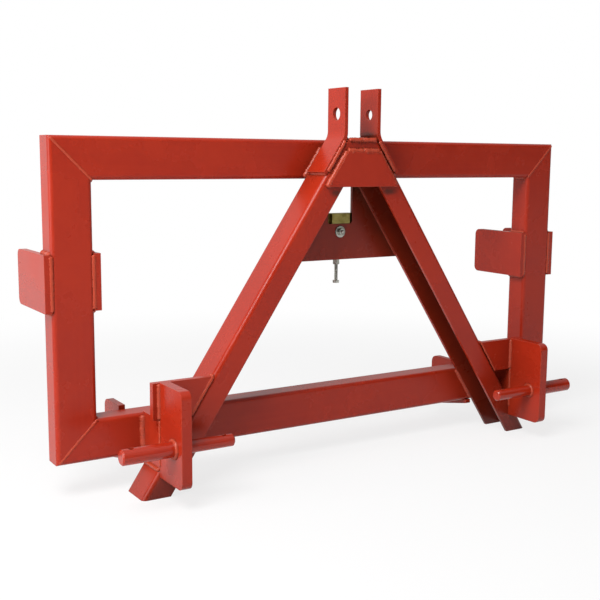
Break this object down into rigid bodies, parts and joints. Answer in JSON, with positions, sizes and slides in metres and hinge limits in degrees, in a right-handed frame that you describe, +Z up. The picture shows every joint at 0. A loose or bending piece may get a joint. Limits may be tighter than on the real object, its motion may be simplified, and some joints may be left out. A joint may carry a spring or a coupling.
{
  "type": "three point quick hitch",
  "caption": "Channel steel A-frame on a rectangular tube frame, with top link ears, stepped lower link pins, guide plates, rear bearers and an adjustable latch slide.",
  "frame": {"origin": "on the ground under the middle of the hitch, midway across and midway between its foremost and rearmost faces", "axes": "+X to the right as seen from the tractor, +Y back towards the implement, +Z up"},
  "size_m": [0.96, 0.253, 0.5835],
  "materials": {
    "red_paint": "glossy powder coat",
    "yellow_zinc": "yellow passivated zinc plate",
    "bright_zinc": "bright zinc plate"
  },
  "bodies": {
    "hitch": {"apex_cap_plate": "red_paint", "apex_front_plate": "red_paint", "clamp_bolt": "bright_zinc", "clamp_nut": "bright_zinc", "clamp_washers": "bright_zinc", "frame_bottom_tube": "red_paint", "frame_top_tube": "red_paint", "latch_plate": "red_paint", "left_ear": "red_paint", "left_foot_gusset": "red_paint", "left_foot_spacer": "red_paint", "left_inner_bearer": "red_paint", "left_inner_guide": "red_paint", "left_leg_channel": "red_paint", "left_link_pin": "red_paint", "left_link_plate": "red_paint", "left_outer_bearer": "red_paint", "left_outer_guide": "red_paint", "left_upright_tube": "red_paint", "right_ear": "red_paint", "right_foot_gusset": "red_paint", "right_foot_spacer": "red_paint", "right_inner_bearer": "red_paint", "right_inner_guide": "red_paint", "right_leg_channel": "red_paint", "right_link_pin": "red_paint", "right_link_plate": "red_paint", "right_outer_bearer": "red_paint", "right_outer_guide": "red_paint", "right_upright_tube": "red_paint", "screw_lock_nut": "bright_zinc", "screw_nut": "bright_zinc"},
    "latch_slide": {"latch_slide": "yellow_zinc"},
    "lift_screw": {"lift_screw": "bright_zinc"}
  },
  "joints": [
    {"name": "latch_slide_lift", "type": "slide", "parent": "hitch", "child": "latch_slide", "axis": [0, 0, 1], "range_m": [0, 0.015]},
    {"name": "lift_screw_turn", "type": "hinge", "parent": "latch_slide", "child": "lift_screw", "pos_m": [0, 0.0145, 0.3], "axis": [0, 0, 1], "range_deg": [0, 5400]}
  ],
  "couplings": [
    {"joint": "lift_screw_turn", "follows": "latch_slide_lift", "rad_per_m": 6283.2}
  ]
}
